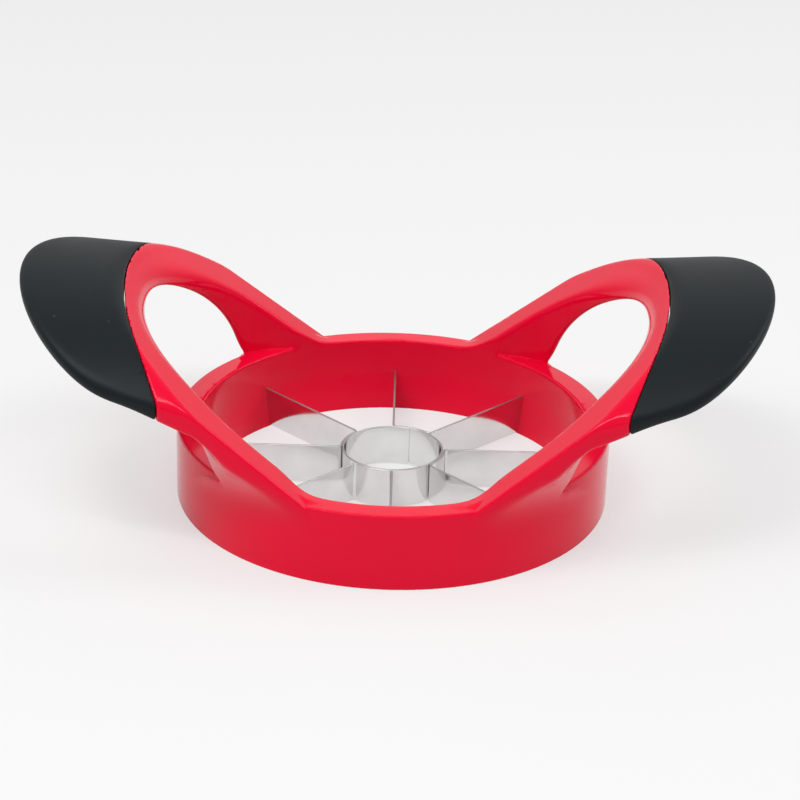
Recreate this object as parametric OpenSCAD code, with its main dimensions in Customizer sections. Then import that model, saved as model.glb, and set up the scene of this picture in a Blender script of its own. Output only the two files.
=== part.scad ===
// Apple slicer press: a ring with eight radial blades round a coring tube, and two
// upswept loop handles whose outer ends are covered by soft grips.
// Origin: middle of the ring, on the surface that it stands on. +X runs from the
// middle to the right handle, +Y to the back and +Z up. Millimetres and degrees.

/* [Ring] */
// Outer diameter of the ring
ring_d = 104; // [98:0.5:110]
// Height of the rim above the base
ring_h = 18.4; // [17:0.2:22]
// Width of the rim, from the outer wall to the mouth
rim_w = 5.7; // [5:0.1:7]
// How much narrower the bore is beside the blades than at the mouth, on each side
bore_step = 0.5; // [0.2:0.1:1]
// Thickness of the outer wall
outer_wall = 1.8; // [1.4:0.1:2.2]
// Thickness of the inner wall, which holds the blade ends in its slots
inner_wall = 1.6; // [1.2:0.1:1.8]
// Thickness of the plastic that closes the hidden channel at the top
channel_roof = 2.5; // [1.8:0.1:3.5]
// Rounding of the outer edge of the rim
rim_round = 0.5; // [0.3:0.1:2]

/* [Blades] */
// Height of the blade strips and of the coring tube
blade_h = 9.8; // [8:0.2:11]
// Height of the cutting edges above the base
blade_lift = 0.4; // [0.3:0.1:0.8]
// Thickness of the steel strip
blade_t = 0.5; // [0.4:0.05:0.8]
// Diameter over the strips where they wrap the coring tube
core_d = 25.4; // [20:0.2:30]
// Thickness of the coring tube
core_t = 0.5; // [0.4:0.05:0.8]
// Width of the butt seam in the coring tube
seam_gap = 0.3; // [0.1:0.05:0.6]
// Direction of the butt seam, from +X towards +Y
seam_angle = 70; // [50:1:85]
// Inner radius of the bends in the strips
bend_r = 0.7; // [0.5:0.1:1.2]
// Length of the bent tab at each end of a strip
tab_len = 4; // [2:0.5:6]
// Clearance on each side of a strip in its slots
slot_gap = 0.15; // [0.1:0.05:0.2]

/* [Retaining ring] */
// How far the retaining ring reaches into the bore, under the blade slots
lip_reach = 0.9; // [0.5:0.1:1.5]
// Thickness of the retaining ring
lip_h = 2; // [1.6:0.1:3]
// Radial clearance of the retaining ring inside the outer wall
lip_gap = 0.1; // [0.05:0.05:0.2]

/* [Handles] */
// Overall length, from tip to tip of the grips
span = 176.4; // [170:0.2:190]
// Height of the handles' top surface at its middle, over the far edge of the hand opening
crest_h = 55; // [52:0.2:60]
// Angle by which that surface still climbs towards the tip
crest_tilt = 3.6; // [0:0.1:5]
// How far that surface falls from its middle to its shoulders
dome_drop = 14.3; // [11:0.1:16]
// Distance from the middle at which the shoulders are measured
shoulder_x = 54.2; // [52:0.1:57]
// Thickness of the paddle at the outer end of a handle, measured vertically
paddle_t = 6.2; // [5.6:0.1:9]
// Distance from the middle at which the straps leave the rim
strap_start = 19; // [16:0.1:21]
// Slope of the straps
strap_angle = 38.4; // [35:0.1:41]
// Width of a strap, seen from above
strap_w = 9.2; // [7.5:0.1:10]
// Thickness of a strap, measured vertically
strap_t = 5.7; // [5.4:0.1:7]
// Angle by which each strap closes in towards the tip
strap_taper = 7.9; // [6:0.1:11]
// Distance by which the straps' outer edges pass inside the ring's outer circle
strap_inset = 0.9; // [0:0.1:2]
// Distance from the middle at which the outline starts to round towards the tip
outline_bend_x = 61.9; // [58:0.1:66]
// How full the outline's corner is, along the strap
corner_full = 14; // [10:0.5:20]
// How full the outline's tip is, across the handle
tip_full = 22; // [16:0.5:26]
// Distance from the middle to the far edge of the hand opening
opening_x = 57.7; // [56:0.1:60]
// Distance from the middle at which the hand opening starts to round
opening_bend_x = 29.2; // [27:0.1:34]
// How full the hand opening is, along the strap
opening_corner = 19.5; // [15:0.5:22]
// How full the hand opening is, along its far edge
opening_full = 19.5; // [15:0.5:24]
// Distance from the middle at which a strap's foot ends on the rim
foot_x = 39.2; // [38.4:0.1:41]
// Radius of the hollow between a strap's foot and its underside
foot_round = 36.5; // [28:0.5:40]
// Height at which the outer wall starts to flare into the straps
flare_z = 11.5; // [9:0.5:13]
// Height in which the flare comes out by its first millimetre
flare_rate = 5.4; // [4.8:0.1:6.4]
// Height at which the flare has run out under the straps
flare_top = 33; // [31:0.5:35]

/* [Grips] */
// Thickness of the soft grip over the plastic tongue
grip_skin = 1.3; // [1:0.1:1.6]
// Distance from the middle to the edge of the grip
grip_edge_x = 63.8; // [62:0.1:67]
// Radius of that curved edge, seen from above
grip_edge_r = 105; // [80:1:120]
// How far the middle of that edge lies towards the back
grip_edge_y = 4.5; // [0:0.5:6]

/* [Hidden] */
$fn = 96;
arms = 8;
pitch = 360 / arms;
red = [0.86, 0.05, 0.12];
black = [0.13, 0.15, 0.15];
steel = [0.8, 0.81, 0.82];
past = 1;
round_steps = 6;
curve_steps = 12;
bend_steps = 5;

ring_r = ring_d / 2;
mouth_r = ring_r - rim_w;
bore_r = mouth_r - bore_step;
lip_r = bore_r - lip_reach;
core_r = core_d / 2;
tip_x = span / 2;
channel_in = bore_r + inner_wall;
channel_out = ring_r - outer_wall;
channel_top = ring_h - channel_roof;
blade_top = blade_lift + blade_h;
slot_w = blade_t + 2 * slot_gap;
tab_r = (channel_in + channel_out) / 2;
tab_reach = norm([tab_r + blade_t / 2, tab_len + bend_r]);
core_mid = core_r - blade_t / 2;
tube_r = core_r - blade_t;
// share of the dome's fall that goes with the square of the distance from its middle
dome_square = 0.75;
// power with which the rest of that fall grows
dome_power = 6;
shoulder_y = edge_y(shoulder_x, 0);
// distance from the middle at which crest_h is measured
crest_x = 60;
// a height above the whole part, and one below it
over_z = crest_h + 4 * past;
under_z = -4 * past;

// ---- curves ----

function bezier(p0, p1, p2, p3, t) = pow(1 - t, 3) * p0 + 3 * t * pow(1 - t, 2) * p1
    + 3 * t * t * (1 - t) * p2 + pow(t, 3) * p3;
function curve(p0, p1, p2, p3) = [for (i = [0:curve_steps]) bezier(p0, p1, p2, p3, i / curve_steps)];
function turn(p, a) = [p[0] * cos(a) - p[1] * sin(a), p[0] * sin(a) + p[1] * cos(a)];
function arc_points(mid, r, a0, a1, n) = [for (i = [0:n]) mid + r * [cos(a0 + (a1 - a0) * i / n),
    sin(a0 + (a1 - a0) * i / n)]];
function flip_y(points) = [for (i = [len(points) - 1:-1:0]) [points[i][0], -points[i][1]]];

// Y at distance x of the straps' outer edge, moved inwards by inset
function edge_y(x, inset) = (ring_r - strap_inset - inset - x * sin(strap_taper)) / cos(strap_taper);
// height of the straps' top surface at distance x
function incline(x) = ring_h + (x - strap_start) * tan(strap_angle);
// height of the handles' top surface at crest_x, at distance y from their middle plane
function dome(y) = let (u = abs(y) / shoulder_y)
    crest_h - dome_drop * (dome_square * u * u + (1 - dome_square) * pow(u, dome_power));

// ---- outlines ----

// outline of one handle from above, with every edge moved inwards by inset
function outline_half(inset) = let (
    start = [outline_bend_x, edge_y(outline_bend_x, inset)],
    along = [cos(strap_taper), -sin(strap_taper)])
    concat([[0, edge_y(0, inset)]],
        curve(start, start + corner_full * along, [tip_x - inset, tip_full], [tip_x - inset, 0]));
module handle_outline(inset) {
    half = outline_half(inset);
    polygon(concat(half, flip_y([for (i = [0:len(half) - 2]) half[i]])));
}

// the hand opening with the space between the straps, from above
module opening_outline() {
    start = [opening_bend_x, edge_y(opening_bend_x, strap_w)];
    along = [cos(strap_taper), -sin(strap_taper)];
    half = concat([[-past, edge_y(-past, strap_w)]],
        curve(start, start + opening_corner * along, [opening_x, opening_full], [opening_x, 0]));
    polygon(concat(half, flip_y([for (i = [0:len(half) - 2]) half[i]])));
}

// everything below the straps' top surface, from the front
module below_incline(drop) {
    far = tip_x + past;
    polygon([[-past, 0], [far, 0], [far, incline(far) - drop / cos(strap_angle)],
        [-past, incline(-past) - drop / cos(strap_angle)]]);
}

// the space under the straps, from the front, with a rounded corner at the foot
module under_straps(rise) {
    far = tip_x + past;
    mid_x = foot_x + foot_round;
    mid = [mid_x, incline(mid_x) - strap_t + (rise - foot_round) / cos(strap_angle)];
    polygon(concat([[far, -past], [far, incline(far) - strap_t + rise / cos(strap_angle)]],
        arc_points(mid, foot_round, 90 + strap_angle, 180, round_steps),
        [[foot_x, -past]]));
}

// everything below the handles' top surface less drop, from the side
module below_dome(drop) {
    wide = ring_r + past;
    polygon(concat([[wide, under_z], [-wide, under_z]],
        [for (i = [-curve_steps:curve_steps]) let (y = wide * i / curve_steps) [y, dome(y) - drop]]));
}

// everything inside the ring's outer wall and the flare that it runs into, as turned
module flare_profile() {
    rise = flare_top - flare_z;
    polygon(concat([[0, 0], [ring_r, 0]],
        [for (i = [0:curve_steps]) let (up = rise * i / curve_steps)
            [ring_r + pow(up / flare_rate, 2), flare_z + up]],
        [[tip_x + past, flare_top], [tip_x + past, over_z], [0, over_z]]));
}

// ---- solids shared by the frame and the grips ----

// a form drawn from the side, drawn out along the handles and tilted as their crest is
module along_crest() {
    translate([crest_x, 0, crest_h]) rotate([0, -crest_tilt, 0]) translate([-crest_x - past, 0, -crest_h])
        rotate([90, 0, 90]) linear_extrude(tip_x + 4 * past) children();
}
module along_y() {
    translate([0, ring_r + past, 0]) rotate([90, 0, 0]) linear_extrude(2 * (ring_r + past)) children();
}

// one handle as a single form, with its top, underside and outline moved inwards by inset
module handle_form(inset) {
    difference() {
        intersection() {
            linear_extrude(over_z) handle_outline(inset);
            along_y() below_incline(inset);
            along_crest() below_dome(inset);
            rotate_extrude() flare_profile();
        }
        translate([0, 0, under_z]) linear_extrude(over_z - 2 * under_z) opening_outline();
        intersection() {
            along_y() under_straps(inset);
            along_crest() below_dome(paddle_t - inset);
        }
    }
}

// the space that lies on the frame's side of a grip's curved edge
module grip_side_cut() {
    translate([grip_edge_x - grip_edge_r, grip_edge_y, under_z])
        cylinder(r = grip_edge_r, h = over_z - 2 * under_z);
}

module grip_form() {
    difference() {
        handle_form(0);
        grip_side_cut();
        handle_form(grip_skin);
    }
}

// ---- frame ----

// the half of the frame's handle that is not covered, with the tongue inside the grip
module frame_handle() {
    intersection() {
        handle_form(0);
        grip_side_cut();
    }
    intersection() {
        handle_form(grip_skin);
        translate([opening_x - strap_w, -ring_r, 0]) cube([tip_x, 2 * ring_r, over_z]);
    }
}

module ring_profile() {
    polygon(concat([[0, 0], [ring_r, 0]],
        arc_points([ring_r - rim_round, ring_h - rim_round], rim_round, 0, 90, round_steps),
        [[0, ring_h]]));
}

// the mouth, the bore and the hidden channel between the two walls
module ring_space_profile() {
    polygon([[0, -past], [channel_out, -past], [channel_out, channel_top], [channel_in, channel_top],
        [channel_in, lip_h], [bore_r, lip_h], [bore_r, blade_top], [mouth_r, ring_h],
        [mouth_r, over_z], [0, over_z]]);
}

module radial_slots(from_r, to_r, from_z, to_z) {
    for (i = [0:arms - 1])
        rotate([0, 0, i * pitch]) translate([from_r, -slot_w / 2, from_z])
            cube([to_r - from_r, slot_w, to_z - from_z]);
}

module body_frame() {
    color(red) difference() {
        union() {
            rotate_extrude() ring_profile();
            frame_handle();
            mirror([1, 0, 0]) frame_handle();
        }
        rotate_extrude() ring_space_profile();
        radial_slots(lip_r, tab_r, -past, blade_top + slot_gap);
    }
}

module right_grip() {
    color(black) grip_form();
}

module left_grip() {
    color(black) mirror([1, 0, 0]) grip_form();
}

// closes the channel from below, with a groove for the tabs and slots for the blades
module blade_retaining_ring() {
    color(red) difference() {
        cylinder(r = channel_out - lip_gap, h = lip_h);
        translate([0, 0, -past]) cylinder(r = lip_r, h = lip_h + 2 * past);
        difference() {
            translate([0, 0, blade_lift]) cylinder(r = tab_reach + slot_gap, h = lip_h);
            cylinder(r = tab_r - blade_t / 2 - slot_gap, h = lip_h + past);
        }
        radial_slots(lip_r - past, tab_r, blade_lift, lip_h + past);
    }
}

// ---- blades ----

module core_tube() {
    color(steel) translate([0, 0, blade_lift]) difference() {
        cylinder(r = tube_r, h = blade_h);
        translate([0, 0, -past]) cylinder(r = tube_r - core_t, h = blade_h + 2 * past);
        rotate([0, 0, seam_angle]) translate([0, -seam_gap / 2, -past])
            cube([core_r, seam_gap, blade_h + 2 * past]);
    }
}

// middle line of half a strip: tab, bend, arm along +X, bend, and half the wrap round the tube
function strip_half() = let (
    turn_r = bend_r + blade_t / 2,
    centre = [sqrt(pow(core_mid + turn_r, 2) - pow(turn_r, 2)), turn_r],
    lean = atan2(centre[1], centre[0]))
    concat([[tab_r, -turn_r - tab_len]],
        arc_points([tab_r - turn_r, -turn_r], turn_r, 0, 90, bend_steps),
        arc_points(centre, turn_r, -90, lean - 180, bend_steps),
        arc_points([0, 0], core_mid, lean + (pitch / 2 - lean) / bend_steps, pitch / 2, bend_steps));

function strip_line() = let (half = strip_half())
    concat(half, [for (i = [len(half) - 2:-1:0]) turn([half[i][0], -half[i][1]], pitch)]);

function unit_normal(path, i) = let (
    d = path[min(i + 1, len(path) - 1)] - path[max(i - 1, 0)])
    [-d[1], d[0]] / norm(d);

module strip_outline() {
    path = strip_line();
    side = [for (i = [0:len(path) - 1]) unit_normal(path, i) * blade_t / 2];
    polygon(concat([for (i = [0:len(path) - 1]) path[i] + side[i]],
        [for (i = [len(path) - 1:-1:0]) path[i] - side[i]]));
}

// two arms joined by a wrap of one pitch round the tube, turned to its own quarter
module blade_strip(quarter) {
    color(steel) rotate([0, 0, pitch + 2 * pitch * quarter]) translate([0, 0, blade_lift])
        linear_extrude(blade_h) strip_outline();
}
module blade_strip_back_right() {
    blade_strip(0);
}
module blade_strip_back_left() {
    blade_strip(1);
}
module blade_strip_front_left() {
    blade_strip(2);
}
module blade_strip_front_right() {
    blade_strip(3);
}

body_frame();
left_grip();
right_grip();
blade_retaining_ring();
core_tube();
blade_strip_back_right();
blade_strip_back_left();
blade_strip_front_left();
blade_strip_front_right();
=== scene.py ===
import math

import bmesh
import bpy
import numpy as np
from mathutils import Matrix, Vector


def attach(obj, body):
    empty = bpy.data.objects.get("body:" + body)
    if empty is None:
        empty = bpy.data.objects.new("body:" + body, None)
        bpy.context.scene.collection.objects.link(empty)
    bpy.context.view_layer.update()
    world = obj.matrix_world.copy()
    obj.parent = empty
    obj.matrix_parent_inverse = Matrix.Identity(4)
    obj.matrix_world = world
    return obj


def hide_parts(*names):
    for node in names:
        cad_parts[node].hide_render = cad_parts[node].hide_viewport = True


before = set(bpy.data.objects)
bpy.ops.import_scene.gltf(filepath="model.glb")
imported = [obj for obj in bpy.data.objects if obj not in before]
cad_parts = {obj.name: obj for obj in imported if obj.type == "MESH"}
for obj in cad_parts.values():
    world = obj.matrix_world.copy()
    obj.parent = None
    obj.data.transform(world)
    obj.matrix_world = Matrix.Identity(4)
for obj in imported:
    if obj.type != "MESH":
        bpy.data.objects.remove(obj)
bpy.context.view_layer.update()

bl_info = {
    "name": "Apple Slicer Press",
    "version": (1, 0, 0),
    "blender": (4, 5, 0),
    "location": "3D View > Sidebar > Slicer",
    "description": "Dresses the packed apple slicer: frame, soft grips, steel blades and studio",
    "category": "Object",
}

MM = 0.001
BODY = "root"
UPHILL = "uphill"          # attribute with the slope of a form's rule at a mesh's points
MERGE_DISTANCE = 1e-7      # points closer than this are one point, in metres
SHARP_DEGREES = 30         # edges past this angle stay sharp on steel and retaining ring
WHITE = (1.0, 1.0, 1.0, 1.0)


# ---------------------------------------------------------------- nodes as expressions

class Wire:
    """A node's output, usable in Python sums. Each operator adds the Math node it stands for."""

    def __init__(self, graph, socket):
        self.graph = graph
        self.socket = socket

    def math(self, operation, *others):
        return self.graph.math(operation, self, *others)

    def __add__(self, other):
        return self.math("ADD", other)

    __radd__ = __add__

    def __mul__(self, other):
        return self.math("MULTIPLY", other)

    __rmul__ = __mul__

    def __sub__(self, other):
        return self.math("SUBTRACT", other)

    def __rsub__(self, other):
        return self.graph.math("SUBTRACT", other, self)

    def __truediv__(self, other):
        return self.math("DIVIDE", other)

    def __rtruediv__(self, other):
        return self.graph.math("DIVIDE", other, self)

    def __pow__(self, other):
        return self.math("POWER", other)

    def __neg__(self):
        return self * -1.0

    def __abs__(self):
        return self.math("ABSOLUTE")

    def sqrt(self):
        return self.math("SQRT")

    def least(self, other):
        return self.math("MINIMUM", other)

    def most(self, other):
        return self.math("MAXIMUM", other)

    def join(self, other, reach):
        """Smaller of the two, blended within reach: two solids joined with a fillet."""
        return self.math("SMOOTH_MIN", other, reach)

    def cross(self, other, reach):
        """Larger of the two, blended within reach: what two solids share, with a rounded edge."""
        return self.math("SMOOTH_MAX", other, reach)


class Graph:
    """One node tree. Every node in it comes from add()."""

    def __init__(self, tree):
        self.tree = tree

    def add(self, kind, settings=None, inputs=None, output=0):
        """Adds a node, sets it up, fills its sockets and returns one output, or all as a list."""
        node = self.tree.nodes.new(kind)
        for name, value in (settings or {}).items():
            setattr(node, name, value)
        self.fill(node.inputs, inputs or {})
        if output == "all":
            return [Wire(self, socket) for socket in node.outputs]
        return Wire(self, node.outputs[output]) if len(node.outputs) else None

    def fill(self, sockets, values):
        """Links each socket to its wire or list of wires, or sets it to its value."""
        for key, value in values.items():
            if isinstance(value, (list, Wire)):
                for wire in value if isinstance(value, list) else [value]:
                    self.tree.links.new(wire.socket, sockets[key])
            else:
                sockets[key].default_value = value

    def math(self, operation, *values):
        return self.add("ShaderNodeMath", {"operation": operation}, dict(enumerate(values)))

    def vector(self, operation, *values, output=0):
        kind, settings = "ShaderNodeVectorMath", {"operation": operation}
        return self.add(kind, settings, dict(enumerate(values)), output)

    def split(self, vector):
        return self.add("ShaderNodeSeparateXYZ", None, {0: vector}, "all")

    def merge(self, x, y, z):
        return self.add("ShaderNodeCombineXYZ", None, {0: x, 1: y, 2: z})

    def ramp_up(self, value, low, high):
        """0 below low, 1 above high, smooth between."""
        return self.add("ShaderNodeMapRange", {"interpolation_type": "SMOOTHSTEP"},
                        {0: value, 1: low, 2: high, 3: 0.0, 4: 1.0})


def new_tree(name, inputs, outputs):
    """An empty Geometry Nodes tree, as a graph and its input wires by name."""
    tree = bpy.data.node_groups.new(name, "GeometryNodeTree")
    kinds = {float: "NodeSocketFloat", tuple: "NodeSocketVector"}
    for label, default in inputs:
        has_value = not isinstance(default, str)
        kind = kinds[type(default)] if has_value else default
        socket = tree.interface.new_socket(label, in_out="INPUT", socket_type=kind)
        if has_value:
            socket.default_value = default
    for label, kind in outputs:
        tree.interface.new_socket(label, in_out="OUTPUT", socket_type=kind)
    graph = Graph(tree)
    wires = {wire.socket.name: wire for wire in graph.add("NodeGroupInput", output="all")}
    return graph, wires


def end_tree(graph, *wires):
    graph.add("NodeGroupOutput", None, dict(enumerate(wires)))
    return graph.tree


# ---------------------------------------------------------------- sizes and colours

def length(label, about, default_mm):
    return bpy.props.FloatProperty(name=label, description=about, default=default_mm * MM,
                                   subtype="DISTANCE", unit="LENGTH", precision=5)


def angle(label, about, default_deg):
    return bpy.props.FloatProperty(name=label, description=about, subtype="ANGLE",
                                   unit="ROTATION", default=math.radians(default_deg))


def number(label, about, default):
    return bpy.props.FloatProperty(name=label, description=about, default=default, precision=4)


def colour(label, about, default):
    return bpy.props.FloatVectorProperty(name=label, description=about, default=default,
                                         size=3, subtype="COLOR", min=0.0, max=1.0)


class SLICER_PG_ring(bpy.types.PropertyGroup):
    radius: length("Radius", "Outer radius of the ring", 52)
    height: length("Height", "Height of the rim", 18.4)
    rim_width: length("Rim width", "From the outer wall to the mouth", 5.7)
    bore_step: length(
        "Bore step", "How much narrower the mouth is at its crease than at the rim", 0.1)
    lip_step: length(
        "Lip step", "How much narrower it is at the retaining ring than at the crease", 1.25)
    crease_z: length("Crease height", "Height of the crease in the mouth's wall", 10.2)
    outer_round: length("Outer rounding", "Rounding of the rim's outer edge", 0.5)
    inner_round: length("Inner rounding", "Rounding of the mouth's edge", 0.5)
    base_round: length("Base rounding", "Rounding of the edge that stands on the surface", 0.2)
    outer_wall: length("Outer wall", "Thickness of the wall round the retaining ring", 1.8)
    lip_height: length("Lip height", "Thickness of the retaining ring", 2)
    seat_gap: length(
        "Seat gap", "Clearance between the retaining ring and the walls beside it", 0.1)


class SLICER_PG_handles(bpy.types.PropertyGroup):
    tip_x: length("Tip", "Distance from the middle to a handle's tip", 88.19)
    crest_z: length("Crest", "Height of a handle's middle at the crest's distance", 55)
    crest_x: length("Crest distance", "Distance from the middle at which that height holds", 60)
    crest_tilt: angle(
        "Crest tilt", "Angle by which a handle's top still climbs towards the tip", 3.6)
    dome_drop: length("Dome drop", "How far a handle falls from its middle to its shoulders", 14.3)
    dome_share: number("Dome share", "Share of that fall that goes with the square", 0.747)
    dome_power: number("Dome power", "Power with which the rest of that fall grows", 6.09)
    shoulder_x: length(
        "Shoulder", "Distance from the middle at which the shoulders are measured", 54.2)
    outline_bend: length("Outline bend", "Where the outline starts to round towards the tip", 62)
    outline_across: number("Outline across", "Power of the outline's curve across the handle", 2.0)
    outline_along: number("Outline along", "Power of the outline's curve along the handle", 1.99)
    strap_start: length(
        "Strap start", "Distance from the middle at which a strap leaves the rim", 18.97)
    strap_angle: angle("Strap angle", "Slope of a strap", 38.39)
    strap_taper: angle("Strap taper", "Angle by which the straps close in towards the tip", 7.94)
    strap_inset: length("Strap inset", "How far the straps pass inside the ring's circle", 0.93)
    strap_width: length("Strap width", "Width of a strap from above", 9.16)
    strap_thick: length(
        "Strap thickness", "Vertical thickness of a strap before its foot's hollow", 4.81)
    strap_thick_out: length("Outer strap thickness", "The same at the strap's outer edge", 5.5)
    paddle_thick: length("Paddle thickness", "Vertical thickness of a handle's outer end", 6)
    opening_x: length("Opening end", "Distance from the middle to the opening's far edge", 57.7)
    opening_bend: length("Opening bend", "Where the opening starts to round", 29.1)
    opening_across: number("Opening across", "Power of the opening's curve across the handle", 2.2)
    opening_along: number("Opening along", "Power of the opening's curve along the handle", 2.39)
    foot_x: length("Foot", "Where a strap's foot ends on the rim", 38.49)
    foot_x_out: length("Outer foot", "Where it ends at the strap's outer edge", 35.8)
    foot_reach: length(
        "Foot reach", "Reach of the hollow over a strap's foot at its inner edge", 26)
    foot_reach_out: length("Outer foot reach", "Reach of that hollow at the strap's outer edge", 8)
    foot_spread: number("Foot spread", "How fast a foot spreads out below the rim", 1.5)
    flare_z: length("Flare start", "Height at which the outer wall starts to flare", 11.51)
    flare_rate: length(
        "Flare rate", "Height in which the flare comes out by its first millimetre", 5.44)
    flare_round: length(
        "Flare rounding", "Rounding between the flare and the straps' undersides", 1)
    crown_reach: length(
        "Crown reach", "Reach of the blend between the straps and a handle's top", 1.5)
    crease_round: length("Crease rounding", "Rounding of the top outer edge on the plastic", 0.89)
    grip_round: length("Grip rounding", "Rounding of the top outer edge on the grips", 2)
    lower_round: length("Lower rounding", "Rounding of the lower edges on the plastic", 1.2)
    grip_lower_round: length(
        "Lower grip rounding", "Rounding of the lower edges on the grips", 5.37)
    grip_blend_x: length(
        "Grip blend", "Distance from the middle at which the edges start to soften", 56)
    grip_soft_x: length(
        "Grip softness", "Distance from the middle at which the edges are as on the grips", 66)
    lower_blend_x: length(
        "Lower blend", "Distance from the middle at which the lower edges start to soften", 42)
    lower_soft_x: length(
        "Lower softness", "Distance from the middle at which they are as on the grips", 64)
    opening_round: length("Opening rounding", "Rounding of the hand opening's lower edge", 2.04)
    fillet: length("Fillet", "Fillet between the straps' tops and the rim", 2.2)
    foot_fillet: length("Foot fillet", "Fillet between the straps' inner sides and the rim", 0.8)
    fillet_x: length(
        "Fillet change", "Distance from the middle at which the fillet starts to shrink", 22)
    fillet_in: length(
        "Fillet's end", "Distance inside the outer wall at which the fillet is whole", 3)


class SLICER_PG_grips(bpy.types.PropertyGroup):
    edge_x: length("Edge", "Distance from the middle to a grip's edge", 63.8)
    edge_y: length("Edge shift", "How far the middle of that edge lies towards the back", 4.5)
    edge_radius: length("Edge radius", "Radius of that edge from above", 105)
    groove: length("Groove", "Width of the gap between plastic and grip", 0.16)
    edge_round: length("Edge rounding", "Rounding of the edges at the groove", 0.3)


class SLICER_PG_blades(bpy.types.PropertyGroup):
    thick: length("Thickness", "Thickness of the steel strip", 0.5)
    height: length("Height", "Height of the strip", 9.8)
    lift: length("Lift", "Height of the cutting edges above the base", 0.4)
    core_radius: length("Core radius", "Radius over the strips round the coring tube", 12.7)
    tube_thick: length("Tube thickness", "Thickness of the coring tube", 0.5)
    reach: length("Reach", "Distance from the middle to the hidden end of an arm", 48.7)
    bend: length("Bend", "Inner radius of a bend", 0.7)
    bevel: length("Edge bevel", "Height of the ground cutting edge", 0.9)
    seam: length("Seam", "Width of the butt seam in the coring tube", 0.3)
    seam_angle: angle("Seam direction", "Direction of the seam from +X towards +Y", 70)


class SLICER_PG_finish(bpy.types.PropertyGroup):
    red: colour("Red", "Colour of the moulded plastic", (0.8, 0.002, 0.032))
    black: colour("Black", "Colour of the grips", (0.005, 0.009, 0.0105))
    steel: colour("Steel", "Colour of the blades", (0.78, 0.775, 0.77))
    floor: colour("Floor", "Colour of the floor", (0.8, 0.8, 0.8))
    floor_glow: number("Floor glow", "Share of the floor's look that is its own white", 0.58)
    voxel: length("Mesh spacing", "Distance between the points of the moulded meshes", 0.33)
    thinning: number("Mesh thinning", "How much the meshes are thinned where they are flat", 0.02)


class SLICER_PG_stage(bpy.types.PropertyGroup):
    distance: length("Camera distance", "From the camera to its target", 550)
    target_z: length("Target height", "Height of the camera's target", 20)
    elevation: angle("Elevation", "Camera's angle above the floor", 24.968)
    azimuth: angle("Azimuth", "Camera's turn about the vertical", 0.157)
    roll: angle("Roll", "Camera's turn about its own axis", -1.71)
    lens: number("Lens", "Focal length in millimetres on a 36 mm sensor", 103.09)
    shift_x: number("Shift X", "Sideways shift of the picture", 0.00778)
    shift_y: number("Shift Y", "Upward shift of the picture", 0.01343)
    backdrop: number(
        "Backdrop", "Brightness of the surroundings between horizon and ceiling", 0.95)
    ceiling: number("Ceiling", "Brightness of the surroundings overhead", 0.64)
    key_watts: number("Key lamp", "Power of the soft lamp at the left, in watts", 3.4)
    strip_watts: number("Strip lamp", "Power of the long lamp above the front, in watts", 2.6)
    fill_watts: number("Fill lamp", "Power of the lamp at the right, in watts", 2.0)


class SLICER_PG_all(bpy.types.PropertyGroup):
    ring: bpy.props.PointerProperty(type=SLICER_PG_ring)
    handles: bpy.props.PointerProperty(type=SLICER_PG_handles)
    grips: bpy.props.PointerProperty(type=SLICER_PG_grips)
    blades: bpy.props.PointerProperty(type=SLICER_PG_blades)
    finish: bpy.props.PointerProperty(type=SLICER_PG_finish)
    stage: bpy.props.PointerProperty(type=SLICER_PG_stage)


# ---------------------------------------------------------------- materials

def new_material(name):
    """A material with a Principled shader, with its graph and that shader."""
    material = bpy.data.materials.new(name)
    material.use_nodes = True
    return material, Graph(material.node_tree), material.node_tree.nodes["Principled BSDF"]


def object_place(graph):
    return graph.add("ShaderNodeTexCoord", None, None, "Object")


def noise(graph, place, scale, detail):
    return graph.add("ShaderNodeTexNoise", None,
                     {"Vector": place, "Scale": scale, "Detail": detail})


def bump(graph, height, strength, distance):
    return graph.add("ShaderNodeBump", None,
                     {"Height": height, "Strength": strength, "Distance": distance})


def mix_colour(graph, factor, first, second):
    amount, one, other, result = 0, 6, 7, 2    # a Mix node's sockets for colours
    return graph.add("ShaderNodeMix", {"data_type": "RGBA"},
                     {amount: factor, one: first, other: second}, result)


def shade(tone, share):
    return tuple(part * share for part in tone) + (1.0,)


def mottled(graph, pattern, tone, darkest, brightest):
    """A colour that a pattern varies between two shares of itself."""
    return mix_colour(graph, pattern, shade(tone, darkest), shade(tone, brightest))


def red_plastic(finish):
    """Glossy moulded plastic: faint flow marks, a slightly uneven skin and handling marks."""
    material, graph, shader = new_material("red_plastic_finish")
    place = object_place(graph)
    flow = noise(graph, place, scale=26.0, detail=3.0)
    haze = graph.ramp_up(noise(graph, place, scale=90.0, detail=4.0), low=0.35, high=0.75)
    skin = noise(graph, place, scale=420.0, detail=2.0)
    polish, haze_dulls = 0.1, 0.05
    graph.fill(shader.inputs, {
        "Base Color": mottled(graph, flow, finish.red, darkest=0.94, brightest=1.05),
        "Roughness": polish + haze_dulls * haze,
        "Normal": bump(graph, skin, strength=0.03, distance=0.2 * MM),
        "Specular IOR Level": 0.38,
        "Specular Tint": (0.35, 0.32, 0.35, 1.0)})
    return material


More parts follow.
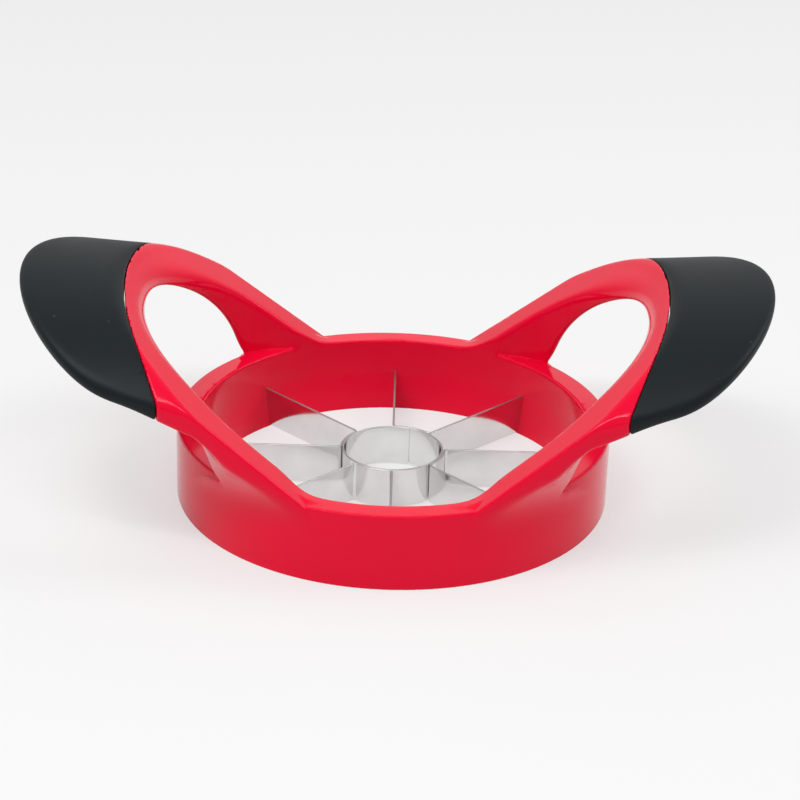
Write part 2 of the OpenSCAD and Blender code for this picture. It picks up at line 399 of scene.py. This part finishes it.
def black_rubber(finish):
    """Soft-touch grip: a satin skin with fine grain and a few specks of dust."""
    material, graph, shader = new_material("black_grip_finish")
    place = object_place(graph)
    cloud = noise(graph, place, scale=35.0, detail=3.0)
    grain = noise(graph, place, scale=2600.0, detail=2.0)
    cells = graph.add("ShaderNodeTexVoronoi", {"feature": "F1"}, {"Vector": place, "Scale": 170.0})
    specks = 1.0 - graph.ramp_up(cells, low=0.03, high=0.055)
    dust, dust_share = (0.35, 0.35, 0.33, 1.0), 0.1
    tone = mottled(graph, cloud, finish.black, darkest=0.88, brightest=1.12)
    satin, cloud_dulls = 0.42, 0.12
    graph.fill(shader.inputs, {
        "Base Color": mix_colour(graph, specks * dust_share, tone, dust),
        "Roughness": satin + cloud_dulls * cloud,
        "Normal": bump(graph, grain, strength=0.12, distance=0.1 * MM),
        "Specular IOR Level": 0.18})
    return material


def brushed_steel(finish):
    """Rolled strip: fine lines along it, a slightly uneven polish and a rougher top edge whose
    colour is darkened as painted shade.
    """
    blades = bpy.context.scene.slicer.blades
    material, graph, shader = new_material("blade_steel_finish")
    place = object_place(graph)
    stretched = graph.vector("MULTIPLY", place, (0.03, 0.03, 1.0))
    lines = noise(graph, stretched, scale=5200.0, detail=3.0)
    patches = noise(graph, place, scale=120.0, detail=3.0)
    below_top = (blades.lift + blades.height) - graph.split(place)[2]
    edge = 1.0 - graph.ramp_up(below_top, low=0.1 * MM, high=0.25 * MM)
    face = mottled(graph, patches, finish.steel, darkest=0.84, brightest=1.1)
    # Painted shade: along the top edge the colour is darkened to this share of the steel's own.
    painted_edge_shade = 0.6
    polish, lines_dull, patches_dull, edge_dulls = 0.07, 0.05, 0.03, 0.35
    graph.fill(shader.inputs, {
        "Base Color": mix_colour(graph, edge, face, shade(finish.steel, painted_edge_shade)),
        "Roughness": polish + lines_dull * lines + patches_dull * patches + edge_dulls * edge,
        "Normal": bump(graph, lines, strength=0.05, distance=0.05 * MM),
        "Metallic": 1.0})
    return material


MAKERS = {"red_plastic": red_plastic, "black_grip": black_rubber, "blade_steel": brushed_steel}


def get_material(slot):
    """The finish for a slot, made when it is first asked for."""
    made = bpy.data.materials.get(slot + "_finish")
    return made or MAKERS[slot](bpy.context.scene.slicer.finish)


# ---------------------------------------------------------------- moulded forms
# A form is a distance rule: a group that gives, for a place, its distance outside the
# surface, below zero inside. Two rules are joined or crossed with a rounded transition.

ROUND_TO_REACH = 1.757     # reach of a blend that rounds a square edge to a radius of one
LEAST_RISE = 2.0           # least rise of an outline's value, per metre, that it is divided by
LEAST_SLOPE = 0.05         # least squared slope that a point's way to the surface is divided by
SLOPE_STEP = 0.02 * MM     # step to each side over which a rule's slope is taken
BAND = 8.0 * MM            # how far outside the surface the volume still holds distances
PULLS = 4                  # how often a mesh's points are drawn onto the surface
SAME_WAY = 0.8             # cosine of the angle up to which a face follows its rule's slope
ORIGIN = (0.0, 0.0, 0.0)


def outline_rule(graph, x, y, edge, taper, start, end, across, along):
    """Distance outside a line that keeps to edge up to start, then rounds to end on the axis."""
    share = (y / edge).most(0.0)
    run = ((x - start) / (end - start)).most(0.0)
    value = share ** across + run ** along - 1.0
    rise_y = across * share ** (across - 1.0) / edge
    rise_x = share ** across * across * taper / edge + along * run ** (along - 1.0) / (end - start)
    return value / (rise_x * rise_x + rise_y * rise_y).sqrt().most(LEAST_RISE)


def handle_rule(graph, x, y, z, radius, ring, handles):
    """Both handles as one form: x and y are distances from the middle, whatever the side."""
    slope, lean = math.tan(handles.strap_angle), math.cos(handles.strap_angle)
    taper, square = math.tan(handles.strap_taper), math.cos(handles.strap_taper)
    climb = math.tan(handles.crest_tilt)
    line = (ring.radius - handles.strap_inset) / square
    shoulder = line - handles.shoulder_x * taper
    power, part = handles.dome_power, handles.dome_share

    incline = ring.height + (x - handles.strap_start) * slope
    share = y / shoulder
    fall = part * share * share + (1.0 - part) * share ** power
    steep = (2.0 * part * share + power * (1.0 - part) * share ** (power - 1.0)) * (
        handles.dome_drop / shoulder)
    flatten = 1.0 / (1.0 + climb * climb + steep * steep).sqrt()
    dome = handles.crest_z + (x - handles.crest_x) * climb - handles.dome_drop * fall

    crown = handles.crown_reach
    top = ((z - incline) * lean).cross((z - dome) * flatten, crown)
    edge = line - x * taper
    across = ((edge - y) * (square / handles.strap_width)).most(0.0).least(1.0)
    thick, foot, reach = (
        outside + (inside - outside) * across for outside, inside in (
            (handles.strap_thick_out, handles.strap_thick), (handles.foot_x_out, handles.foot_x),
            (handles.foot_reach_out, handles.foot_reach)))
    foot = foot + (ring.height - z).most(0.0) * handles.foot_spread
    hollow = ((incline - thick - z) * lean).join(x - foot, reach)
    under = hollow.join((dome - handles.paddle_thick - z) * flatten, crown / 2.0)

    outer = outline_rule(graph, x, y, edge, taper, handles.outline_bend, handles.tip_x,
                         handles.outline_across, handles.outline_along)
    inner = (-outline_rule(graph, x, y, edge - handles.strap_width / square, taper,
                          handles.opening_bend, handles.opening_x,
                          handles.opening_across, handles.opening_along)).least(z - ring.height)

    towards_tip = graph.ramp_up(x, handles.grip_blend_x, handles.grip_soft_x)
    crease = handles.crease_round + (handles.grip_round - handles.crease_round) * towards_tip
    lower = handles.lower_round + (handles.grip_lower_round - handles.lower_round) * graph.ramp_up(
        x, handles.lower_blend_x, handles.lower_soft_x)
    form = top.cross(outer, ROUND_TO_REACH * crease).cross(
        under.cross(inner, ROUND_TO_REACH * handles.opening_round), ROUND_TO_REACH * lower)

    above = z - handles.flare_z
    bow = MM / handles.flare_rate ** 2.0
    wall = ring.radius + above * abs(above) * bow
    widen = above * (2.0 * bow)
    flare = (radius - wall) / (1.0 + widen * widen).sqrt()
    return form.cross(flare, ROUND_TO_REACH * handles.flare_round)


def start_rule(name):
    """A group from a place to a distance, with the place's |x|, y, z and radius from above."""
    graph, wires = new_tree(name, [("Position", ORIGIN)], [("Distance", "NodeSocketFloat")])
    x, y, z = graph.split(wires["Position"])
    return graph, abs(x), y, z, (x * x + y * y).sqrt()


def grip_edge_distance(x, y, grips):
    """Distance past the curved line between the plastic and a grip, towards the tip."""
    away, back = x - (grips.edge_x - grips.edge_radius), y - grips.edge_y
    return (away * away + back * back).sqrt() - grips.edge_radius


def frame_rule():
    """The red moulding: ring and handles with fillets between, mouth, seat and base."""
    sizes = bpy.context.scene.slicer
    ring, handles, grips = sizes.ring, sizes.handles, sizes.grips
    graph, x, y, z, radius = start_rule("frame_form")
    form = handle_rule(graph, x, abs(y), z, radius, ring, handles)
    rim = (radius - ring.radius).cross(z - ring.height, ROUND_TO_REACH * ring.outer_round)
    fade_end, change, least_reach = 0.5 * MM, 8.0 * MM, 0.02 * MM
    fade = 1.0 - graph.ramp_up(radius, ring.radius - handles.fillet_in, ring.radius - fade_end)
    fillet = handles.fillet + (handles.foot_fillet - handles.fillet) * graph.ramp_up(
        x, handles.fillet_x, handles.fillet_x + change)
    form = form.join(rim, (ROUND_TO_REACH * fillet * fade).most(least_reach))

    mouth = ring.radius - ring.rim_width
    above = (z - ring.crease_z).most(0.0) * (ring.bore_step / (ring.height - ring.crease_z))
    below = (ring.crease_z - z).most(0.0) * (ring.lip_step / (ring.crease_z - ring.lip_height))
    wall = mouth - ring.bore_step + above - below
    form = form.cross(wall - radius, ROUND_TO_REACH * ring.inner_round)
    cut = grip_edge_distance(x, y, grips) + 0.5 * grips.groove
    form = form.cross(cut, ROUND_TO_REACH * grips.edge_round)
    form = form.cross(-z, ROUND_TO_REACH * ring.base_round)
    seat = (ring.radius - ring.outer_wall - radius).least(ring.lip_height - z).least(
        radius - mouth + ring.seat_gap)
    return end_tree(graph, form.most(seat))


def grip_rule():
    """The same handles past the grips' curved edge."""
    sizes = bpy.context.scene.slicer
    graph, x, y, z, radius = start_rule("grip_form")
    form = handle_rule(graph, x, abs(y), z, radius, sizes.ring, sizes.handles)
    cut = 0.5 * sizes.grips.groove - grip_edge_distance(x, y, sizes.grips)
    return end_tree(graph, form.cross(cut, ROUND_TO_REACH * sizes.grips.edge_round))


def slope_tree(rule):
    """Distance and uphill slope of a rule at a place, from steps to both sides on each axis."""
    graph, wires = new_tree(rule.name + "_slope", [("Position", ORIGIN)],
                            [("Distance", "NodeSocketFloat"), ("Uphill", "NodeSocketVector")])

    def rule_at(place):
        return graph.add("GeometryNodeGroup", {"node_tree": rule}, {0: place})

    def rate(*step):
        ahead, behind = (
            rule_at(graph.vector("ADD", wires["Position"], tuple(sign * part for part in step)))
            for sign in (1.0, -1.0))
        return (ahead - behind) / (2.0 * SLOPE_STEP)

    uphill = graph.merge(rate(SLOPE_STEP, 0, 0), rate(0, SLOPE_STEP, 0), rate(0, 0, SLOPE_STEP))
    return end_tree(graph, rule_at(wires["Position"]), uphill)


def add_chain(graph, wire, *nodes):
    """Leads a wire through nodes given as (type, settings, inputs), by their first sockets."""
    for kind, settings, inputs in nodes:
        wire = graph.add(kind, settings, {0: wire, **inputs})
    return wire


def mould_tree(rule):
    """Meshes a rule inside a box: a volume's skin, its points then drawn onto the surface."""
    graph, wires = new_tree("mould_" + rule.name, [
        ("Geometry", "NodeSocketGeometry"), ("Low corner", ORIGIN), ("High corner", ORIGIN),
        ("Spacing", MM), ("Thinning", 0.0), ("Material", "NodeSocketMaterial")],
        [("Geometry", "NodeSocketGeometry")])
    size = graph.vector("SUBTRACT", wires["High corner"], wires["Low corner"])
    counts = [(side / wires["Spacing"]).math("CEIL") for side in graph.split(size)]
    place = graph.add("GeometryNodeInputPosition")
    distance = graph.add("GeometryNodeGroup", {"node_tree": rule}, {0: place})
    volume = graph.add("GeometryNodeVolumeCube", None, {
        "Density": (BAND - distance).most(0.0), "Background": 0.0,
        "Min": wires["Low corner"], "Max": wires["High corner"],
        "Resolution X": counts[0], "Resolution Y": counts[1], "Resolution Z": counts[2]})
    skin = graph.add("GeometryNodeVolumeToMesh", {"resolution_mode": "GRID"},
                     {"Volume": volume, "Threshold": BAND, "Adaptivity": wires["Thinning"]})
    slope = slope_tree(rule)
    away, uphill = graph.add("GeometryNodeGroup", {"node_tree": slope}, {0: place}, "all")
    strength = graph.vector("DOT_PRODUCT", uphill, uphill, output="Value").most(LEAST_SLOPE)
    pull = graph.add("ShaderNodeVectorMath", {"operation": "SCALE"},
                     {0: uphill, "Scale": -(away / strength)})
    return end_tree(graph, add_chain(
        graph, skin,
        *[("GeometryNodeSetPosition", None, {"Offset": pull})] * PULLS,
        ("GeometryNodeStoreNamedAttribute", {"data_type": "FLOAT_VECTOR", "domain": "POINT"},
         {"Name": UPHILL, "Value": uphill}),
        ("GeometryNodeSetShadeSmooth", None, {}),
        ("GeometryNodeRealizeInstances", None, {}),
        ("GeometryNodeSetMaterial", None, {"Material": wires["Material"]})))


# ---------------------------------------------------------------- meshes

def link(name, data):
    """A new object in the scene."""
    thing = bpy.data.objects.new(name, data)
    bpy.context.scene.collection.objects.link(thing)
    return thing


def run_tree(piece, tree, inputs):
    """The piece made into the plain mesh that a tree gives with these inputs."""
    modifier = piece.modifiers.new(tree.name, "NODES")
    modifier.node_group = tree
    sockets = {item.name: item for item in tree.interface.items_tree if item.in_out == "INPUT"}
    for label, value in inputs.items():
        modifier[sockets[label].identifier] = value
    evaluated = piece.evaluated_get(bpy.context.evaluated_depsgraph_get())
    mesh = bpy.data.meshes.new_from_object(evaluated)
    piece.modifiers.clear()
    piece.data = mesh
    mesh.name = piece.name
    return piece


def read(items, field, kind, width=1):
    """A field of a mesh's items as an array, with one row for each where it has several parts."""
    values = np.empty(len(items) * width, dtype=kind)
    items.foreach_get(field, values)
    return values.reshape(-1, width) if width > 1 else values


def moulded(name, tree, low, high, slot):
    """A piece made by a mould tree between two corners, shaded by its rule's own slope."""
    finish = bpy.context.scene.slicer.finish
    piece = run_tree(link(name, bpy.data.meshes.new(name)), tree, {
        "Low corner": low, "High corner": high, "Spacing": finish.voxel,
        "Thinning": finish.thinning, "Material": get_material(slot)})
    shade_by_slope(piece.data)
    return piece


def shade_by_slope(mesh):
    """Gives each face corner the slope of the rule there, or the face's own at a sharp edge."""
    least = 1e-6
    slopes = read(mesh.attributes[UPHILL].data, "vector", np.float32, 3)
    slopes /= np.maximum(np.linalg.norm(slopes, axis=1, keepdims=True), least)
    sides = read(mesh.polygons, "loop_total", np.int32)
    flat = np.repeat(read(mesh.polygons, "normal", np.float32, 3), sides, axis=0)
    normals = slopes[read(mesh.loops, "vertex_index", np.int32)]
    follows = (normals * flat).sum(axis=1, keepdims=True) > SAME_WAY
    normals = np.where(follows, normals, flat)
    mesh.attributes.remove(mesh.attributes[UPHILL])
    mesh.shade_smooth()
    mesh.normals_split_custom_set(normals.tolist())


def turned(name, profile, steps=360):
    """A ring about Z whose section is the closed line through (radius, z) points."""
    count = len(profile)
    points, faces = [], []
    for i in range(steps):
        a = 2.0 * math.pi * i / steps
        points += [(r * math.cos(a), r * math.sin(a), z) for r, z in profile]
        here, ahead = i * count, (i + 1) % steps * count
        for k in range(count):
            n = (k + 1) % count
            faces.append((here + k, ahead + k, ahead + n, here + n))
    mesh = bpy.data.meshes.new(name)
    mesh.from_pydata(points, [], faces)
    return link(name, mesh)


def clean(piece):
    """Merges doubles, points every face outwards and shades smooth but for the sharp edges."""
    shape = bmesh.new()
    shape.from_mesh(piece.data)
    bmesh.ops.remove_doubles(shape, verts=shape.verts, dist=MERGE_DISTANCE)
    bmesh.ops.recalc_face_normals(shape, faces=shape.faces)
    shape.to_mesh(piece.data)
    shape.free()
    piece.data.shade_smooth()
    piece.data.set_sharp_from_angle(angle=math.radians(SHARP_DEGREES))
    return piece


def dress(piece, slot, *nodes):
    """Gives a finished piece its slot's material and its body, and hides the CAD parts it stands
    for.
    """
    piece.data.materials.clear()
    piece.data.materials.append(get_material(slot))
    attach(piece, BODY)
    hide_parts(*nodes)


def arc(middle, radius, start, end, steps):
    """Flat points on an arc from one direction to another, in degrees."""
    turns = [math.radians(start + (end - start) * i / steps) for i in range(steps + 1)]
    return [(middle[0] + radius * math.cos(a), middle[1] + radius * math.sin(a)) for a in turns]


def rotated(points, turn):
    """Flat points turned about the middle, in radians."""
    c, s = math.cos(turn), math.sin(turn)
    return [(x * c - y * s, x * s + y * c) for x, y in points]


# ---------------------------------------------------------------- operators

class SLICER_OT_frame(bpy.types.Operator):
    """Make the red moulding: ring, straps and the handles up to the grips"""
    bl_idname = "slicer.frame"
    bl_label = "Frame"

    def execute(self, context):
        sizes = context.scene.slicer
        spare = 1.5 * MM
        edge, side = sizes.grips.edge_x + spare, sizes.ring.radius + spare
        top = sizes.handles.crest_z + 2.0 * spare
        piece = moulded("frame_moulding", mould_tree(frame_rule()), (-edge, -side, -spare),
                        (edge, side, top), "red_plastic")
        dress(piece, "red_plastic", "body_frame")
        return {"FINISHED"}


class SLICER_OT_grips(bpy.types.Operator):
    """Make the two soft grips"""
    bl_idname = "slicer.grips"
    bl_label = "Grips"

    def execute(self, context):
        sizes = context.scene.slicer
        tree = mould_tree(grip_rule())
        near, far, side = 48.0 * MM, sizes.handles.tip_x + 1.5 * MM, 48.0 * MM
        low, high = 30.0 * MM, sizes.handles.crest_z + 4.0 * MM
        for name, node, start, end in (("grip_right", "right_grip", near, far),
                                       ("grip_left", "left_grip", -far, -near)):
            piece = moulded(name, tree, (start, -side, low), (end, side, high), "black_grip")
            dress(piece, "black_grip", node)
        return {"FINISHED"}


BEND_STEPS, WRAP_STEPS, TUBE_STEPS = 6, 8, 120    # straight pieces that make up each arc


def strip_profile(thick, height, bevel):
    """Section of the steel strip as (across, -up) points, with its ground edge at the start."""
    half, ease, tip = thick / 2.0, thick * 0.2, thick * 0.03
    return [(tip, 0.0), (half, -bevel), (half, ease - height), (half - ease, -height),
            (ease - half, -height), (-half, ease - height), (-half, -bevel), (-tip, 0.0)]


def ribbon_tree(profile):
    """Sweeps the strip's section along the piece's edges, turned over: the ground edge is low."""
    graph, wires = new_tree("ribbon", [
        ("Geometry", "NodeSocketGeometry"), ("Lift", 0.0), ("Material", "NodeSocketMaterial")],
        [("Geometry", "NodeSocketGeometry")])
    path = add_chain(graph, wires["Geometry"], ("GeometryNodeMeshToCurve", None, {}),
                     ("GeometryNodeSetCurveNormal", {"mode": "Z_UP"}, {}))
    sides = [graph.add("GeometryNodeCurvePrimitiveLine", {"mode": "POINTS"},
                       {"Start": (*here, 0.0), "End": (*ahead, 0.0)})
             for here, ahead in zip(profile, profile[1:] + profile[:1])]
    section = add_chain(graph, sides, ("GeometryNodeJoinGeometry", None, {}),
                        ("GeometryNodeCurveToMesh", None, {}),
                        ("GeometryNodeMergeByDistance", None, {"Distance": MERGE_DISTANCE}),
                        ("GeometryNodeMeshToCurve", None, {}))
    lift = graph.merge(0.0, 0.0, wires["Lift"])
    return end_tree(graph, add_chain(
        graph, path,
        ("GeometryNodeCurveToMesh", None, {"Profile Curve": section, "Fill Caps": True}),
        ("GeometryNodeTransform", None, {"Translation": lift}),
        ("GeometryNodeRealizeInstances", None, {}),
        ("GeometryNodeSetMaterial", None, {"Material": wires["Material"]})))


def swept(name, points, tree, lift):
    """A strip of steel along flat (x, y) points."""
    mesh = bpy.data.meshes.new(name)
    steps = [(i, i + 1) for i in range(len(points) - 1)]
    mesh.from_pydata([(x, y, 0.0) for x, y in points], steps, [])
    inputs = {"Lift": lift, "Material": get_material("blade_steel")}
    return clean(run_tree(link(name, mesh), tree, inputs))


class SLICER_OT_blades(bpy.types.Operator):
    """Make the folded blade strips, two arms each"""
    bl_idname = "slicer.blades"
    bl_label = "Blades"

    def execute(self, context):
        blades = context.scene.slicer.blades
        tree = ribbon_tree(strip_profile(blades.thick, blades.height, blades.bevel))
        names = ("back_right", "back_left", "front_left", "front_right")
        pitch = 180.0 / len(names)
        path = self.strip_path(blades, pitch)
        for quarter, name in enumerate(names):
            points = rotated(path, math.radians(pitch + 2.0 * pitch * quarter))
            piece = swept("blades_" + name, points, tree, blades.lift)
            dress(piece, "blade_steel", "blade_strip_" + name)
        return {"FINISHED"}

    @staticmethod
    def strip_path(blades, pitch):
        """Middle line of a strip: in by an arm, an eighth round the tube and out by the next."""
        middle = blades.core_radius - blades.thick / 2.0
        turn = blades.bend + blades.thick / 2.0
        centre = (math.sqrt((middle + turn) ** 2 - turn ** 2), turn)
        lean = math.degrees(math.atan2(centre[1], centre[0]))
        half = [(blades.reach, 0.0)]
        half += arc(centre, turn, -90, lean - 180, BEND_STEPS)
        half += arc((0.0, 0.0), middle, lean, pitch / 2.0, WRAP_STEPS)[1:]
        mirrored = [(x, -y) for x, y in reversed(half[:-1])]
        return half + rotated(mirrored, math.radians(pitch))


class SLICER_OT_core_tube(bpy.types.Operator):
    """Make the coring tube with its butt seam"""
    bl_idname = "slicer.core_tube"
    bl_label = "Core tube"

    def execute(self, context):
        blades = context.scene.slicer.blades
        tree = ribbon_tree(strip_profile(blades.tube_thick, blades.height, blades.bevel))
        middle = blades.core_radius - blades.thick - blades.tube_thick / 2.0
        gap = math.degrees(blades.seam / 2.0 / middle)
        start = math.degrees(blades.seam_angle)
        points = arc((0.0, 0.0), middle, start + gap, start + 360.0 - gap, TUBE_STEPS)
        piece = swept("coring_tube", points, tree, blades.lift)
        dress(piece, "blade_steel", "core_tube")
        return {"FINISHED"}


class SLICER_OT_retaining_ring(bpy.types.Operator):
    """Make the flat ring that closes the moulding from below"""
    bl_idname = "slicer.retaining_ring"
    bl_label = "Retaining ring"

    def execute(self, context):
        ring = context.scene.slicer.ring
        near, far = ring.radius - ring.rim_width, ring.radius - ring.outer_wall - ring.seat_gap
        piece = turned("retaining_ring", [(near, 0.0), (far, 0.0), (far, ring.lip_height),
                                          (near, ring.lip_height)])
        dress(clean(piece), "red_plastic", "blade_retaining_ring")
        return {"FINISHED"}


LAMPS = (    # name, stage property with its watts, place, target, width and depth, in metres
    ("lamp_key", "key_watts", (-0.45, -0.35, 0.9), (0.0, 0.0, 0.02), (0.5, 0.5)),
    ("lamp_strip", "strip_watts", (-0.1, -0.42, 0.9), (0.0, 0.0, 0.03), (0.7, 0.1)),
    ("lamp_fill", "fill_watts", (0.7, 0.1, 0.6), (0.0, 0.0, 0.03), (0.4, 0.4)),
)
FLOOR_HALF = 3.0       # half the side of the floor, in metres
FLOOR_WHITE = 0.93     # strength of the floor's own white
FRONT_DIMS = 0.4       # share by which the surroundings are darker at the front
HORIZON_DIMS = 0.5     # share by which they are darker at and below the horizon
SENSOR_WIDTH = 36.0    # in millimetres


def soft_box(name, watts, place, target, sides):
    """A rectangular area lamp that looks at a point."""
    lamp = bpy.data.lights.new(name, "AREA")
    lamp.shape = "RECTANGLE"
    lamp.size, lamp.size_y = sides
    lamp.energy = watts
    holder = link(name, lamp)
    holder.location = place
    holder.rotation_euler = (Vector(target) - Vector(place)).to_track_quat("-Z", "Y").to_euler()


def seen_or_mirrored(graph):
    """1 for rays from the camera and for reflections, 0 for the light that falls on things."""
    rays = {wire.socket.name: wire for wire in graph.add("ShaderNodeLightPath", output="all")}
    return (rays["Is Camera Ray"] + rays["Is Glossy Ray"]).least(1.0)


class SLICER_OT_stage(bpy.types.Operator):
    """Make the floor, the lamps, the world and the camera"""
    bl_idname = "slicer.stage"
    bl_label = "Stage"

    def execute(self, context):
        scene = context.scene
        stage = scene.slicer.stage
        self.make_floor(scene.slicer.finish)
        self.make_world(scene, stage)
        for name, watts, place, target, sides in LAMPS:
            soft_box(name, getattr(stage, watts), place, target, sides)
        self.make_camera(scene, stage)
        scene.view_settings.view_transform = "Standard"
        return {"FINISHED"}

    @staticmethod
    def make_floor(finish):
        mesh = bpy.data.meshes.new("floor")
        corners = ((-1, -1), (1, -1), (1, 1), (-1, 1))
        mesh.from_pydata([(x * FLOOR_HALF, y * FLOOR_HALF, 0) for x, y in corners],
                         [], [(0, 1, 2, 3)])
        floor = link("floor", mesh)
        material, graph, shader = new_material("floor")
        graph.fill(shader.inputs, {
            "Base Color": shade(finish.floor, 1.0), "Roughness": 0.7, "Specular IOR Level": 0.1})
        glow = graph.add("ShaderNodeEmission", None, {"Color": WHITE, "Strength": FLOOR_WHITE})
        both = graph.add("ShaderNodeMixShader", None, {
            0: seen_or_mirrored(graph) * finish.floor_glow,
            1: Wire(graph, shader.outputs[0]), 2: glow})
        graph.fill(material.node_tree.nodes["Material Output"].inputs, {"Surface": both})
        mesh.materials.append(material)

    @staticmethod
    def make_world(scene, stage):
        """A white room, darker at the front, overhead and near the horizon."""
        world = bpy.data.worlds.new("studio")
        scene.world = world
        world.use_nodes = True
        graph = Graph(world.node_tree)
        _, y, z = graph.split(graph.add("ShaderNodeTexCoord", None, None, "Generated"))
        ceiling = graph.ramp_up(z, low=0.4, high=0.6)
        front = graph.ramp_up(-y, low=-0.2, high=0.8)
        horizon = 1.0 - graph.ramp_up(z, low=0.1, high=0.42)
        strength = stage.backdrop - ceiling * (stage.backdrop - stage.ceiling)
        strength = strength * (1.0 - FRONT_DIMS * front) * (1.0 - HORIZON_DIMS * horizon)
        graph.fill(world.node_tree.nodes["Background"].inputs,
                   {"Color": WHITE, "Strength": strength})

    @staticmethod
    def make_camera(scene, stage):
        lens = bpy.data.cameras.new("camera")
        lens.sensor_width = SENSOR_WIDTH
        lens.lens = stage.lens
        lens.shift_x, lens.shift_y = stage.shift_x, stage.shift_y
        camera = link("camera", lens)
        e, a, r = stage.elevation, stage.azimuth, stage.roll
        ahead = Vector((-math.sin(a) * math.cos(e), math.cos(a) * math.cos(e), -math.sin(e)))
        right = Vector((math.cos(a), math.sin(a), 0.0))
        up = right.cross(ahead)
        right, up = math.cos(r) * right - math.sin(r) * up, math.sin(r) * right + math.cos(r) * up
        place = Vector((0.0, 0.0, stage.target_z)) - ahead * stage.distance
        camera.matrix_world = Matrix((
            (right.x, up.x, -ahead.x, place.x),
            (right.y, up.y, -ahead.y, place.y),
            (right.z, up.z, -ahead.z, place.z),
            (0.0, 0.0, 0.0, 1.0)))
        scene.camera = camera


OPERATORS = (SLICER_OT_frame, SLICER_OT_grips, SLICER_OT_blades, SLICER_OT_core_tube,
             SLICER_OT_retaining_ring, SLICER_OT_stage)


class SLICER_PT_panel(bpy.types.Panel):
    """Lists the pieces of the slicer"""
    bl_idname = "SLICER_PT_panel"
    bl_label = "Apple Slicer Press"
    bl_space_type = "VIEW_3D"
    bl_region_type = "UI"
    bl_category = "Slicer"

    def draw(self, context):
        sizes = context.scene.slicer
        for operator in OPERATORS:
            self.layout.operator(operator.bl_idname)
        for part in ("ring", "handles", "grips", "blades", "finish", "stage"):
            box = self.layout.box()
            box.label(text=part.title())
            group = getattr(sizes, part)
            for name in group.bl_rna.properties.keys():
                if name not in ("rna_type", "name"):
                    box.prop(group, name)


CLASSES = (SLICER_PG_ring, SLICER_PG_handles, SLICER_PG_grips, SLICER_PG_blades, SLICER_PG_finish,
           SLICER_PG_stage, SLICER_PG_all) + OPERATORS + (SLICER_PT_panel,)


def register():
    for item in CLASSES:
        bpy.utils.register_class(item)
    bpy.types.Scene.slicer = bpy.props.PointerProperty(type=SLICER_PG_all)


def unregister():
    del bpy.types.Scene.slicer
    for item in reversed(CLASSES):
        bpy.utils.unregister_class(item)


def main():
    register()
    bpy.ops.slicer.stage()
    bpy.ops.slicer.frame()
    bpy.ops.slicer.grips()
    bpy.ops.slicer.blades()
    bpy.ops.slicer.core_tube()
    bpy.ops.slicer.retaining_ring()


if __name__ == "__main__":
    main()
